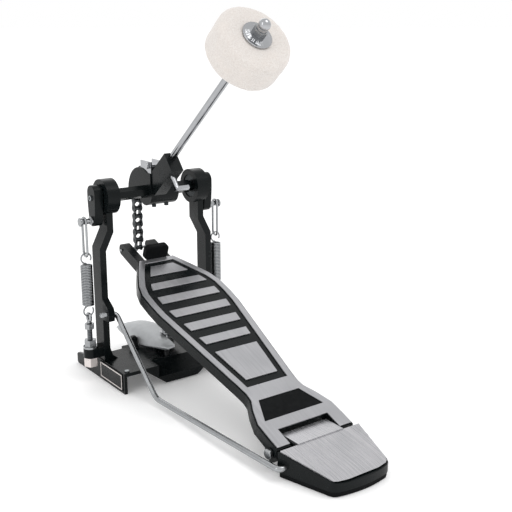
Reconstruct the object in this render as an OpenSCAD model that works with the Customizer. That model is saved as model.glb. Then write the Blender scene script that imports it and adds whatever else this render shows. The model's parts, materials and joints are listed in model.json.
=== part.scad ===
// Bass drum pedal: chain drive, two outside return springs, wire radius rods.
// The origin is on the floor, under the axle, on the pedal's mid-plane.
// +X is the player's right, +Y points at the drum, +Z is up.

/* [Frame] */
// Height of the axle above the floor
axle_z = 210; // [180:1:250]
// Distance from the mid-plane to a post's inner face
post_in = 65; // [60:0.5:80]
// Thickness of a post across the pedal
post_t = 7.5; // [6:0.5:10]
// Depth of a post along the pedal
post_d = 19; // [15:0.5:22]
// Height of the deck's top face
deck_z = 24; // [20:1:30]
// Thickness of the deck
deck_t = 4; // [3:0.5:6]
// How far the deck reaches towards the player
deck_front = 57; // [45:1:70]
// How far the deck reaches towards the drum
deck_back = 14; // [12:1:30]
// Thickness of a side flange
flange_t = 3.5; // [2.5:0.5:5]
// Half width of the middle foot
foot_half = 21; // [16:1:26]
// Radius of a bearing housing
housing_r = 19.5; // [17:0.5:23]
// Length of a bearing housing
housing_len = 15; // [12:1:16]

/* [Axle and cam] */
// Radius of the axle's round ends
journal_r = 6; // [5:0.5:7]
// Width across the flats of the hexagonal axle
hex_af = 12.5; // [11:0.5:13]
// Radius of the cam's cheeks
cam_r = 29; // [26:0.5:32]
// Distance from the axle to the cheeks' centre, towards the drum
cam_off_y = 10; // [8:0.5:12]
// Distance from the axle down to the cheeks' centre
cam_drop = 3; // [0:0.5:5]
// Half width of the cam over its cheeks
cam_half = 9; // [8.5:0.5:11]
// Thickness of a cam cheek
cheek_t = 2.4; // [2:0.1:3]

/* [Chain] */
// Distance between two chain pins
pitch = 9.525; // [8:0.025:10]
// Half height of a link plate
plate_h = 4; // [3.4:0.1:4.4]
// Links in the straight strand
strand_links = 8; // [6:1:9]

/* [Beater] */
// Angle that the beater leans back from upright, degrees
lean = 50; // [40:1:55]
// Radius of the beater's shaft
shaft_r = 4; // [3:0.25:5]
// Distance from the axle to the middle of the felt
felt_reach = 246; // [200:1:260]
// Radius of the felt
felt_r = 38; // [30:1:42]
// Length of the felt along the shaft
felt_len = 36; // [28:1:44]

/* [Springs] */
// Distance from the axle to a crank pin
crank_arm = 25; // [20:1:30]
// Thickness of a crank
crank_t = 10; // [8:1:12]
// Outer radius of a spring
spring_r = 6.7; // [5:0.1:8]
// Wire radius of a spring
wire_r = 0.9; // [0.7:0.1:1.1]
// Length of the coils
coil_len = 48; // [40:1:55]

/* [Footboard] */
// Slope of the footboard at rest, degrees
board_angle = 20.4; // [15:0.1:22]
// Distance from the heel hinge to the chain's pin
toe_reach = 341.5; // [330:0.5:350]
// Half width of the footboard at its widest
board_half = 50; // [44:0.5:56]
// Thickness of the footboard
board_t = 12; // [10:0.5:14]
// Distance from the hinge axis up to the footboard's top face
board_top = 10.7; // [9.5:0.1:12]

/* [Heel] */
// Distance from the axle's plane to the heel hinge
heel_y = 284; // [275:1:295]
// Height of the heel hinge
heel_z = 17; // [15:0.5:19]
// Length of the heel plate behind the hinge
heel_len = 77; // [70:1:84]
// Half width of the heel plate at its footboard end
heel_half = 49; // [44:0.5:54]

/* [Hidden] */
fn_round = 64;
eps = 0.01;
running = 0.05;        // radial clearance of a shaft that turns in a hole
gap = 0.35;            // space between pieces that move past each other
housing_out = post_in - 0.5;
housing_in = housing_out - housing_len;
post_out = post_in + post_t;
joggle = 10;           // how far a post steps in below its housing
joggle_top = axle_z - 36;
joggle_low = joggle_top - 20;
crank_in = housing_out + 1;
crank_out = crank_in + crank_t;
flange_out = post_out + 1;
spring_x = crank_out + 9.5;
cam_y = cam_off_y;
cam_z = axle_z - cam_drop;
bearing_r = 13;
bearing_w = 9;
bush_x = 28;           // half width of the heel tongue between the footboard's legs
toe_y = toe_reach * cos(board_angle) - heel_y;
toe_z = toe_reach * sin(board_angle) + heel_z;
strand_top = toe_z + strand_links * pitch;
wrap_r = norm([toe_y - cam_y, strand_top - cam_z]);
link_turn = 2 * asin(pitch / 2 / wrap_r);
wrap_start = atan2(strand_top - cam_z, toe_y - cam_y);
arm_in = 12;           // inner face of a fork arm
arm_out = 22;          // outer face of a fork arm
board_end = 4.9;       // how far the board runs past its hinge, towards the heel
tongue_gap = 1;
pin_z = axle_z - crank_arm;
pin_r = 3;
shackle_r = 4.7;       // centre radius of the shackle's bends
shackle_w = 1.3;       // wire radius of the shackle
shackle_top = pin_z + pin_r + gap - shackle_r + shackle_w;
shackle_bot = shackle_top - 34;
hook_r = spring_r - wire_r;
hook_top = shackle_bot - shackle_r + shackle_w + 1.2 - hook_r + wire_r;
coil_top = hook_top - hook_r - 0.5;
coil_bot = coil_top - coil_len;
lower_hook_z = coil_bot - hook_r - 0.5;
eye_r = 4.3;           // centre radius of the eye
eye_w = 1.7;           // wire radius of the eye
eye_z = lower_hook_z - hook_r + wire_r + gap - eye_r + eye_w;
bolt_r = 3;
lug_top = deck_z + 16;
lug_low = lug_top - 10.5;
rod_r = 2.9;           // radius of a radius rod
rod_x = post_in - 5;
rod_y = -17;
rod_z = 81;
heel_back = -heel_y - heel_len;
pad_t = 5;
heel_top_z = 25;
heel_front_z = 14;
jaw_y = 13;            // the hoop jaw's pivot
jaw_z = deck_z + 8;
jaw_half = 20;

// ---------- shared shapes ----------

// Extrudes a drawing of (y, z) from x0 to x1
module prism_x(x0, x1) {
  translate([x0, 0, 0]) rotate([90, 0, 90]) linear_extrude(x1 - x0) children();
}

// A round bar along X
module bar_x(x0, x1, r, y, z) {
  translate([x0, y, z]) rotate([0, 90, 0]) cylinder(h = x1 - x0, r = r, $fn = fn_round);
}

// A round bar along Z
module bar_z(z0, z1, r, x, y) {
  translate([x, y, z0]) cylinder(h = z1 - z0, r = r, $fn = fn_round);
}

// A round bar between two points, with a ball at its end that stands just proud of it
module bar(a, b, r) {
  d = b - a;
  len = norm(d);
  translate(a) rotate([0, acos(d[2] / len), atan2(d[1], d[0])]) cylinder(h = len, r = r, $fn = 32);
  translate(b) sphere(r = r + 0.06, $fn = 32);
}

// A hexagonal block along Z
module hex_z(z0, z1, af, x, y) {
  translate([x, y, z0]) cylinder(h = z1 - z0, r = af / sqrt(3), $fn = 6);
}

// Left is the drawn side; the right is its mirror image
module on_side(right) {
  mirror([right ? 1 : 0, 0, 0]) children();
}

// Rounds the corners of a drawing
module soften(r) {
  offset(r = r, $fn = 48) offset(delta = -r) children();
}

// The footboard's own frame: origin on the hinge axis, y along the board, z square to it
module on_board() {
  translate([0, -heel_y, heel_z]) rotate([board_angle, 0, 0]) children();
}

// The beater's own frame: origin on the axle, z along the shaft, y towards the drum and up
module on_beater() {
  translate([0, 0, axle_z]) rotate([lean, 0, 0]) translate([0, shaft_off, 0]) children();
}
shaft_off = 3.3;       // the shaft's axis runs this far above the axle's

// ---------- frame ----------

module post_outline() {
  polygon([[-post_in, deck_z - deck_t], [-post_out, deck_z - deck_t], [-post_out, joggle_low],
    [-post_out + joggle, joggle_top], [-post_out + joggle, axle_z - 6],
    [-post_in + joggle, axle_z - 6], [-post_in + joggle, joggle_top - 3],
    [-post_in, joggle_low - 3], [-post_in, deck_z + 14], [-post_in + 3, deck_z + 5],
    [-post_in + 9, deck_z - eps], [-post_in + 9, deck_z - deck_t]]);
}

module deck_section() {
  // flanges, deck and middle foot, as seen from the player's side
  polygon([[-flange_out, 0], [-flange_out, deck_z], [flange_out, deck_z], [flange_out, 0],
    [flange_out - flange_t, 0], [flange_out - flange_t, deck_z - deck_t],
    [46, deck_z - deck_t], [foot_half, pad_base], [-foot_half, pad_base],
    [-46, deck_z - deck_t], [-flange_out + flange_t, deck_z - deck_t], [-flange_out + flange_t, 0]]);
}
pad_base = 1.2;        // the middle foot stands on thin pads
flange_back = 62;      // how far the flanges reach towards the drum

module frame_side() {
  rotate([90, 0, 0]) translate([0, 0, -post_d / 2]) linear_extrude(post_d) post_outline();
  bar_x(-housing_out, -housing_in, housing_r, 0, axle_z);
  // boss that carries the radius rod
  prism_x(-post_out, -post_in)
    polygon([[-post_d / 2 + 1, rod_z - 8], [rod_y - 6, rod_z - 7], [rod_y - 8, rod_z],
      [rod_y - 5, rod_z + 8], [-post_d / 2 + 1, rod_z + 17]]);
  // lug that carries the eye bolt
  translate([-spring_x, 0, lug_low]) cylinder(h = lug_top - lug_low, r = 8, $fn = fn_round);
  translate([-spring_x, -8, lug_low]) cube([spring_x - post_out + 2, 16, lug_top - lug_low]);
}

module frame() {
  color("#23292b") difference() {
    union() {
      rotate([90, 0, 0]) translate([0, 0, -deck_back]) linear_extrude(deck_front + deck_back)
        deck_section();
      for (right = [false, true]) on_side(right) frame_side();
      // the flanges run on towards the drum and get lower
      for (s = [-1, 1]) prism_x(s > 0 ? flange_out - flange_t : -flange_out,
        s > 0 ? flange_out : -flange_out + flange_t)
        polygon([[deck_back - 1, 0], [flange_back - 2, 0], [flange_back, 2], [flange_back, 11],
          [flange_back - 2, 13], [deck_back + 18, 18], [deck_back + 2, deck_z],
          [deck_back - 1, deck_z]]);
      // ears for the hoop jaw's pin
      for (s = [-1, 1])
        prism_x(s * (jaw_half + 4) - 2.5, s * (jaw_half + 4) + 2.5)
          polygon([[jaw_y - 9, deck_z - 1], [jaw_y - 5, jaw_z + 3], [jaw_y - 2, jaw_z + 5],
            [jaw_y + 2, jaw_z + 5], [jaw_y + 1 , deck_z - 1]]);
      // lower lip under the hoop
      translate([-foot_half + 5, deck_back - 1, pad_base]) cube([2 * foot_half - 10, 46, 7]);
    }
    // sloped front of the middle foot
    prism_x(-foot_half - 9, foot_half + 9)
      polygon([[-deck_front - 1, 10], [-deck_front, 10], [-deck_front + 17, deck_z],
        [-deck_front + 17, deck_z + 1], [-deck_front - 1, deck_z + 1]]);
    for (s = [-1, 1]) {
      // bearing seat, open towards the middle
      translate([s > 0 ? housing_in - 1 : -housing_in - bearing_w - 2, 0, axle_z]) rotate([0, 90, 0])
        cylinder(h = bearing_w + 3, r = bearing_r, $fn = fn_round);
      bar_x(s > 0 ? housing_in : -housing_out - 1, s > 0 ? housing_out + 1 : -housing_in,
        journal_r + 2, 0, axle_z);
      bar_z(lug_low - 1, lug_top + 1, bolt_r + 0.2, s * spring_x, 0);
      bar_x(s > 0 ? post_in - 1 : -post_out - 1, s > 0 ? post_out + 1 : -post_in + 1, rod_r,
        rod_y, rod_z);
      bar_x(s * (jaw_half + 4) - 4, s * (jaw_half + 4) + 4, 2.5, jaw_y, jaw_z);
    }
    // seats of the flange screws
    for (s = [-1, 1]) bar_z(deck_z - 7, deck_z + 1, 1.6, s * (flange_out - 6), -deck_front + 5);
  }
}

module badge_plate() {
  color("#2a2f31") translate([-flange_out - 0.9, -deck_front + 4, 2.5]) cube([0.9, 53, 20]);
}

module base_pads() {
  color("#1b1d1e") translate([-foot_half + 1, -deck_front + 2, 0])
    cube([2 * foot_half - 2, deck_front + deck_back - 4, pad_base]);
}

module flange_screws() {
  color("#8d9294") for (s = [-1, 1]) {
    bar_z(deck_z - 7, deck_z + 0.5, 1.6, s * (flange_out - 6), -deck_front + 5);
    bar_z(deck_z, deck_z + 1.6, 2.8, s * (flange_out - 6), -deck_front + 5);
  }
}

module bearing(right) {
  color("#3a3d3f") on_side(right) difference() {
    bar_x(-housing_in - bearing_w - 1, -housing_in - 1, bearing_r, 0, axle_z);
    bar_x(-housing_in - bearing_w - 2, -housing_in, journal_r, 0, axle_z);
  }
}

// ---------- axle ----------

module axle() {
  color("#2c3335") {
    translate([-housing_in + 1, 0, axle_z]) rotate([0, 90, 0]) rotate([0, 0, 0])
      cylinder(h = 2 * housing_in - 2, r = hex_af / sqrt(3), $fn = 6);
    bar_x(-crank_out + 2, crank_out - 2, journal_r - running, 0, axle_z);
  }
}

cam_low = axle_z - 9;  // the cam is cut off here, so that the chain hangs free below it
module cam_outline(r) {
  translate([cam_y, cam_z]) circle(r = r, $fn = 96);
}

module cheek_outline() {
  intersection() {
    union() {
      cam_outline(cam_r);
      translate([-13, axle_z - 7]) square([24, 28.5]);
    }
    translate([-13, cam_low]) square([80, 80]);
  }
}

module drive_cam() {
  core_r = wrap_r - plate_h - 4;
  color("#262c2e") difference() {
    union() {
      for (x = [-cam_half, cam_half - cheek_t]) prism_x(x, x + cheek_t) cheek_outline();
      prism_x(-cam_half, cam_half) intersection() {
        cam_outline(core_r);
        translate([-60, cam_low]) square([120, 120]);
      }
      // web behind the flat front, clear of the chain's groove
      prism_x(-cam_half, cam_half) intersection() {
        cheek_outline();
        translate([-13, axle_z - 9]) square([12, 30.5]);
      }
      // collar with the set screws
      bar_x(-cam_half, cam_half + 17, 16, 0, axle_z);
      // flat front of the hub
      translate([-cam_half, -13, axle_z - 9]) cube([2 * cam_half + 17, 12, 22]);
    }
    translate([-cam_half - 1, 0, axle_z]) rotate([0, 90, 0])
      cylinder(h = 2 * cam_half + 20, r = hex_af / sqrt(3), $fn = 6);
    channel_space();
    // seat of the beater holder
    on_beater() translate([-7.6, -17.1, holder_start]) cube([15.2, 23.2, 60]);
    for (x = [0, 16]) bar_z(axle_z - 20, axle_z - 6, 2.5, x, -4);
    // room for the chain's groove beside the collar
    difference() {
      prism_x(-cam_half + cheek_t, cam_half - cheek_t) cam_outline(cam_r + 20);
      prism_x(-cam_half, cam_half) cam_outline(core_r);
      prism_x(-cam_half, cam_half) translate([-20, axle_z - 40]) square([19, 61.5]);
    }
  }
}

module cam_screws() {
  color("#3c4244") for (x = [0, 16]) difference() {
    bar_z(axle_z - 18, axle_z - 6.6, 2.5, x, -4);
    hex_z(axle_z - 19, axle_z - 16, 2.4, x, -4);
  }
}

// The space that the chain's channel takes up on the hub
module channel_space() {
  translate([-8.1, -15, channel_z]) cube([16.2, 26, 14]);
}
channel_z = axle_z + 21.5;

module chain_channel() {
  zc = channel_z + 0.02;
  color("#c9c9c9") difference() {
    union() {
      translate([-8, -13.4, zc]) cube([16, 12.9, 1.6]);
      for (x = [-8, 6.4]) translate([x, -13.4, zc]) cube([1.6, 23.4, 13]);
    }
    bar_x(-9, 9, 2.1, channel_y, axle_z + 30);
  }
}
channel_y = -7;        // place of the screw that crosses the chain's channel

module channel_screw() {
  color("#b9babc") {
    bar_x(-10.5, 9.5, 2.05, channel_y, axle_z + 30);
    bar_x(-10.8, -8.1, 3.6, channel_y, axle_z + 30);
    bar_x(8.1, 10.6, 3.6, channel_y, axle_z + 30);
  }
}

// ---------- chain ----------

// One link from pin a to pin b: an inner link has the bushes, an outer link has the pins
module link(a, b, outer) {
  d = b - a;
  ang = atan2(d[1], d[0]);
  x = outer ? 3.9 : 2.5;
  color(outer ? "#3a3c3d" : "#55585a") difference() {
    union() {
      for (s = [-1, 1])
        translate([s > 0 ? x : -x - 1.2, a[0], a[1]]) rotate([90, 0, 90]) rotate([0, 0, ang])
          linear_extrude(1.2) {
            circle(r = plate_h, $fn = 40);
            translate([norm(d), 0]) circle(r = plate_h, $fn = 40);
            translate([0, -plate_h * 0.72]) square([norm(d), plate_h * 1.44]);
          }
      for (p = [a, b]) bar_x(outer ? -5.5 : -3, outer ? 5.5 : 3, outer ? 1.45 : 2.54, p[0], p[1]);
    }
    if (!outer) for (p = [a, b]) bar_x(-6, 6, 1.55, p[0], p[1]);
  }
}

function strand_pin(i) = [toe_y, toe_z + i * pitch];
function wrap_pin(i) = [cam_y + wrap_r * cos(wrap_start + i * link_turn),
  cam_z + wrap_r * sin(wrap_start + i * link_turn)];

module chain_strand() {
  for (i = [0 : strand_links - 1]) link(strand_pin(i), strand_pin(i + 1), i % 2 == 1);
}

module chain_piece(i) {
  first = i == 1 ? strand_pin(strand_links) : wrap_pin(i - 1);
  link(first, wrap_pin(i), i % 2 == 0);
}

module toe_pin() {
  color("#b4b6b8") bar_x(-arm_out - 1.5, arm_out + 1.5, 1.5, toe_y, toe_z);
}

// ---------- beater ----------

holder_start = 13;
holder_end = 63;       // distance from the axle to the holder's end face
clamp_t = 54;          // distance from the axle to the clamping screw

module beater_holder() {
  color("#24292b") difference() {
    on_beater() difference() {
      translate([-7.5, -17, holder_start]) cube([15, 23, holder_end - holder_start]);
      translate([0, 0, 12]) cylinder(h = holder_end, r = shaft_r + running, $fn = fn_round);
      // hole of the clamping screw
      translate([-3, 0, clamp_t]) rotate([90, 0, 0]) cylinder(h = 18, r = 2.4, $fn = 32);
    }
    channel_space();
  }
}

module holder_screw() {
  color("#c4c5c8") on_beater() {
    translate([-3, -4.6, clamp_t]) rotate([90, 0, 0]) cylinder(h = 29, r = 2.35, $fn = 32);
    translate([-6, -35.4, clamp_t - 2.2]) cube([17, 3.8, 4.4]);
  }
}

shaft_start = 35;      // where the shaft ends inside its holder
module beater_shaft() {
  color("#c8cacc") on_beater()
    translate([0, 0, shaft_start]) cylinder(h = felt_reach + felt_len / 2 + 14 - shaft_start, r = shaft_r,
      $fn = fn_round);
}

module felt_head() {
  color("#e4dfdb") on_beater() translate([0, 0, felt_reach]) difference() {
    rotate_extrude($fn = 96) intersection() {
      soften(7) translate([-felt_r, -felt_len / 2]) square([2 * felt_r, felt_len]);
      translate([0, -felt_len]) square([felt_r + 1, 2 * felt_len]);
    }
    translate([0, 0, -felt_len]) cylinder(h = 2 * felt_len, r = shaft_r, $fn = fn_round);
  }
}

module dished_washer(z, up) {
  color("#c9c9cb") on_beater() translate([0, 0, z]) mirror([0, 0, up ? 0 : 1]) difference() {
    union() {
      cylinder(h = 2, r = 15, $fn = fn_round);
      translate([0, 0, 2]) cylinder(h = 2, r1 = 13, r2 = 9, $fn = fn_round);
    }
    translate([0, 0, -1]) cylinder(h = 8, r = shaft_r, $fn = fn_round);
  }
}

module felt_nut() {
  color("#bcbdc0") on_beater() difference() {
    translate([0, 0, felt_reach + felt_len / 2 + 4]) cylinder(h = 6, r = 7, $fn = 6);
    translate([0, 0, felt_reach]) cylinder(h = felt_len, r = shaft_r, $fn = fn_round);
  }
}

module ball_nut() {
  z = felt_reach + felt_len / 2 + 10;
  color("#d2d2d4") on_beater() difference() {
    translate([0, 0, z]) union() {
      cylinder(h = 3, r = 5.4, $fn = fn_round);
      translate([0, 0, 5.4]) sphere(r = 5.8, $fn = fn_round);
    }
    translate([0, 0, z - 1]) cylinder(h = 5, r = shaft_r, $fn = fn_round);
  }
}

// ---------- cranks and springs ----------

module crank(right) {
  color("#262c2e") on_side(right) difference() {
    prism_x(-crank_out, -crank_in) translate([0, axle_z])
      polygon(concat([for (a = [180 : -15 : 0]) [9 * cos(a), 5 + 9 * sin(a)]],
        [[9, -4], [8, -16], [6, -crank_arm - 3]],
        [for (a = [-30 : -30 : -150]) [6 * cos(a), -crank_arm - 1 + 5.5 * sin(a)]],
        [[-6, -crank_arm - 3], [-8, -16], [-9, -4]]));
    bar_x(-crank_out + 2, -crank_in + 1, journal_r - running, 0, axle_z);
    bar_x(-crank_out - 1, -crank_out + 3, 3, 0, axle_z);
    bar_x(-crank_out - 1, -crank_out + 6, pin_r, 0, pin_z);
  }
}

module crank_bolts() {
  color("#b9babd") for (right = [false, true]) on_side(right)
    difference() {
      bar_x(-crank_out - 1.6, -crank_out + 2, 3, 0, axle_z);
      translate([-crank_out - 2, 0, axle_z]) rotate([0, 90, 0]) cylinder(h = 1.6, r = 1.6, $fn = 6);
    }
}

module crank_pin(right) {
  color("#b9babd") on_side(right) {
    bar_x(-spring_x - 3.6, -crank_out + 6, pin_r, 0, pin_z);
    bar_x(-crank_out - 2.5, -crank_out, pin_r + 1.8, 0, pin_z);
    bar_x(-spring_x - 5.6, -spring_x - 3.6, pin_r + 1.8, 0, pin_z);
  }
}

// Half a ring in the plane across X; up = true gives the upper half
module half_ring_x(r, w, up) {
  rotate([0, 90, 0]) rotate([0, 0, up ? 90 : -90])
    rotate_extrude(angle = 180, $fn = 48) translate([r, 0]) circle(r = w, $fn = 24);
}

module shackle(right) {
  color("#bdbec1") on_side(right) translate([-spring_x, 0, 0]) {
    translate([0, 0, shackle_top]) half_ring_x(shackle_r, shackle_w, true);
    translate([0, 0, shackle_bot]) half_ring_x(shackle_r, shackle_w, false);
    for (s = [-1, 1])
      bar_z(shackle_bot, shackle_top, shackle_w, 0, s * shackle_r);
  }
}

// A hook: most of a ring in the plane across Y, centred at z
module hook_ring(z, open_at) {
  translate([0, 0, z]) rotate([90, 0, 0]) rotate([0, 0, open_at])
    rotate_extrude(angle = 300, $fn = 48) translate([hook_r, 0]) circle(r = wire_r, $fn = 24);
}

module spring(right) {
  color("#b7b8ba") on_side(right) translate([-spring_x, 0, 0]) {
    difference() {
      cylinder_between(coil_bot, coil_top, spring_r);
      cylinder_between(coil_bot - 1, coil_top + 1, spring_r - 2 * wire_r);
    }
    hook_ring(lower_hook_z, 120);
  }
}

module cylinder_between(z0, z1, r) {
  translate([0, 0, z0]) cylinder(h = z1 - z0, r = r, $fn = 48);
}

module spring_hook(right) {
  color("#b7b8ba") on_side(right) translate([-spring_x, 0, 0]) hook_ring(hook_top, -60);
}

module eye_bolt(right) {
  color("#b9babd") on_side(right) translate([-spring_x, 0, 0]) {
    translate([0, 0, eye_z]) rotate([0, 90, 0]) rotate_extrude($fn = 48)
      translate([eye_r, 0]) circle(r = eye_w, $fn = 24);
    cylinder_between(lug_low - 12, eye_z - eye_r, bolt_r);
  }
}

module tension_nuts(right) {
  zt = eye_z - eye_r - 3;
  color("#bcbdc0") on_side(right) difference() {
    union() {
      hex_z(zt - 6, zt, 10, -spring_x, 0);
      bar_z(lug_top, lug_top + 2.4, 8, -spring_x, 0);
      hex_z(lug_top + 2.4, lug_top + 10, 12, -spring_x, 0);
    }
    bar_z(lug_top - 1, zt + 1, bolt_r, -spring_x, 0);
  }
}

module lock_nuts() {
  color("#c8c4c2") for (s = [-1, 1]) difference() {
    hex_z(lug_low - 10.5, lug_low, 14.5, s * spring_x, 0);
    bar_z(lug_low - 12, lug_low + 1, bolt_r, s * spring_x, 0);
  }
}

// ---------- radius rods ----------

rod_low = 8;           // height of a rod's lower run
module radius_rod(right) {
  color("#c2c3c6") on_side(right) {
    bar([-post_out - 6, rod_y, rod_z], [-rod_x, rod_y, rod_z], rod_r);
    bar([-rod_x, rod_y, rod_z], [-rod_x, rod_y - 85, rod_low], rod_r);
    bar([-rod_x, rod_y - 85, rod_low], [-rod_x + 2, rod_y - 125, rod_low], rod_r);
    bar([-rod_x + 2, rod_y - 125, rod_low], [-heel_half - 5, -heel_y - 22, 12], rod_r);
    bar([-heel_half - 5, -heel_y - 22, 12], [-heel_half + 8, -heel_y - 22, 12], rod_r);
  }
}

// ---------- heel ----------

module heel_outline() {
  edge = [[heel_half, -heel_y - 14], [heel_half - 14.5, heel_back + 10], [heel_half - 16.5, heel_back + 6],
    [heel_half - 20.5, heel_back + 3.5], [20, heel_back + 1.7], [10, heel_back + 0.4], [0, heel_back]];
  polygon(concat([for (p = edge) [-p[0], p[1]]],
    [for (i = [len(edge) - 2 : -1 : 0]) edge[i]]));
}

module heel_wedge(z0, lift) {
  // the space under the sloping top face, raised by lift
  prism_x(-heel_half - 5, heel_half + 5)
    polygon([[-heel_y + 12, z0], [-heel_y + 12, heel_top_z + lift], [-heel_y - 10, heel_top_z + lift],
      [heel_back + 12, heel_front_z + lift + 1.5], [heel_back - 6, heel_front_z + lift - 3],
      [heel_back - 6, z0]]);
}

module heel_plate() {
  color("#2a3234") difference() {
    union() {
      intersection() {
        translate([0, 0, pad_t]) linear_extrude(heel_top_z) heel_outline();
        heel_wedge(pad_t, 0);
      }
      // tongue that carries the hinge bolts
      prism_x(-bush_x, bush_x) polygon([[-heel_y - 15, pad_t], [-heel_y + 9, heel_z - 9],
        [-heel_y + 9, heel_top_z], [-heel_y - 10, heel_top_z], [-heel_y - 15, heel_top_z - 1.2]]);
    }
    bar_x(-bush_x - 1, bush_x + 1, 3.05, -heel_y, heel_z);
    for (s = [-1, 1]) bar_x(s > 0 ? heel_half - 12 : -heel_half - 6,
      s > 0 ? heel_half + 6 : -heel_half + 12, rod_r + 0.1, -heel_y - 22, 12);
  }
}

module heel_top() {
  color("#b5b6b9") intersection() {
    union() {
      intersection() {
        translate([0, 0, pad_t]) linear_extrude(heel_top_z + 10) offset(delta = -1.5) heel_outline();
        difference() {
          heel_wedge(pad_t, 1.8);
          heel_wedge(pad_t - 1, 0);
        }
      }
      translate([-bush_x + 1, -heel_y - 16, heel_top_z]) cube([2 * bush_x - 2, 25, 1.8]);
    }
    translate([-heel_half, heel_back, heel_front_z + 1]) cube([2 * heel_half, heel_len + 12, 20]);
  }
}

module heel_pad() {
  color("#17191a") linear_extrude(pad_t) offset(delta = -1) heel_outline();
}

module hinge_bolts() {
  color("#b9babd") for (s = [-1, 1]) {
    bar_x(s > 0 ? bush_x - 14 : -49, s > 0 ? 49 : -bush_x + 14, 3, -heel_y, heel_z);
    bar_x(s > 0 ? 46.4 : -50.4, s > 0 ? 50.4 : -46.4, 5, -heel_y, heel_z);
  }
}

// ---------- footboard ----------

// Half width of the board's top face at a distance s from the hinge
board_line = [[-4.9, 0.89], [10, 0.89], [27, 0.88], [44, 0.76], [57, 0.63], [66, 0.61],
  [80, 0.64], [137, 0.80], [170, 0.89], [203, 0.985], [222, 1], [242, 0.99], [257, 0.91],
  [275, 0.735], [290, 0.57], [301, 0.44]];

module board_outline() {
  polygon(concat([for (p = board_line) [-p[1] * board_half, p[0]]],
    [for (i = [len(board_line) - 1 : -1 : 0]) [board_line[i][1] * board_half, board_line[i][0]]]));
}

module heel_notch() {
  translate([-bush_x - 2, -board_end - 5]) square([2 * bush_x + 4, board_end + 20]);
}

field_inset = 6.6;     // width of the bright rim
module field_outline() {
  intersection() {
    offset(delta = -field_inset) board_outline();
    translate([-100, 74]) square([200, 222]);
  }
}

module grip_outline() {
  polygon([[-24.5, 54.5], [24.5, 54.5], [35.5, 28], [-35.5, 28]]);
}

rim_t = 1.5;           // thickness of the bright rim and bars
module footboard() {
  color("#2b3133") on_board() difference() {
    union() {
      translate([0, 0, board_top - board_t]) linear_extrude(board_t - rim_t) difference() {
        offset(delta = 1.6) board_outline();
        heel_notch();
      }
      // legs down to the hinge
      for (s = [-1, 1]) {
        bar_x(s > 0 ? bush_x + 2 : -46, s > 0 ? 46 : -bush_x - 2, 9, 0, 0);
      }
      // fork that holds the chain
      for (s = [-1, 1]) {
        translate([s > 0 ? arm_in : -arm_out, 285, board_top - 17]) cube([arm_out - arm_in,
          toe_reach - 285, 13.4]);
        bar_x(s > 0 ? arm_in : -arm_out, s > 0 ? arm_out : -arm_in, 6.7, toe_reach, 0.4);
      }
    }
    bar_x(-60, 60, 3.05, 0, 0);
    bar_x(-arm_out - 2, arm_out + 2, 1.5, toe_reach, 0);
    // hollow underside
    for (y = [68 : 43 : 240])
      translate([0, 0, board_top - board_t - 1]) linear_extrude(board_t - 3.5) intersection() {
        offset(delta = -4) board_outline();
        translate([-60, y]) square([120, 37]);
      }
  }
}

module footboard_rim() {
  color("#b0b0b3") on_board() translate([0, 0, board_top - rim_t]) linear_extrude(rim_t) difference() {
    board_outline();
    heel_notch();
    field_outline();
    grip_outline();
  }
}

bar_rows = [[270.4, 290], [246, 257], [220.5, 232.5], [195.4, 207.3], [170, 182.4], [145.4, 157]];
module tread_bars() {
  color("#a9a9ac") on_board() translate([0, 0, board_top - rim_t]) linear_extrude(rim_t) intersection() {
    union() {
      for (r = bar_rows) translate([-60, r[0]]) square([120, r[1] - r[0]]);
      translate([-60, 84]) square([120, 47.5]);
    }
    offset(delta = -field_inset - 6.6) board_outline();
  }
}

module heel_grip() {
  color("#1a1c1d") on_board() translate([0, 0, board_top - rim_t]) linear_extrude(rim_t - 0.5)
    offset(delta = -0.1) grip_outline();
}

module toe_stop() {
  color("#1d2122") on_board() translate([0, 301, board_top - rim_t]) rotate([90, 0, 0])
    translate([0, 0, -7.5]) linear_extrude(7.5) soften(5.5)
      translate([-15, 0]) square([30, 17.5]);
}

// ---------- hoop clamp ----------

module hoop_jaw() {
  color("#b9bcbe") difference() {
    union() {
      intersection() {
        prism_x(-jaw_half, jaw_half) polygon(concat(jaw_line(0), jaw_line(-4, true)));
        jaw_side();
      }
      // skirts down both sides
      for (s = [-1, 1]) prism_x(s * (jaw_half - 1.6) - 1.6, s * (jaw_half - 1.6) + 1.6)
        polygon([[-44, deck_z + 15.5], [-25, deck_z + 9], [2, deck_z + 4], [jaw_y - 3, deck_z + 2.5],
          [jaw_y + 6, deck_z + 3], [43, deck_z + 3], [58, deck_z + 8], [58, deck_z + 11],
          [46, deck_z + 14.8], [7, deck_z + 20], [-10, deck_z + 20], [-44, deck_z + 16.5]]);
    }
    bar_x(-40, 40, 2.55, jaw_y, jaw_z);
    // slot for the clamp bolt, open at the tail
    bar_z(deck_z, 70, 3.6, 0, clamp_y);
    translate([-3.6, -60, deck_z]) cube([7.2, 60 + clamp_y, 40]);
  }
}
clamp_y = -22;          // the clamp bolt's place on the jaw

// The jaw's crest from its tail to its nose, lowered by d
jaw_crest = [[-48, 16], [-30, 19.5], [-10, 21.5], [7, 21.5], [30, 19.5], [46, 16.5], [62, 12],
  [76, 6.5], [84, 1]];
function jaw_line(d, back = false) = [for (i = [0 : len(jaw_crest) - 1])
  let(k = back ? len(jaw_crest) - 1 - i : i) [jaw_crest[k][0], deck_z + jaw_crest[k][1] + d]];

// The jaw's outline seen from above
module jaw_side() {
  linear_extrude(90) polygon([[-jaw_half, -44], [-jaw_half, 58], [-jaw_half + 8, 76], [-4, 84],
    [4, 84], [jaw_half - 8, 76], [jaw_half, 58], [jaw_half, -44], [jaw_half - 5, -48],
    [-jaw_half + 5, -48]]);
}

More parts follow.
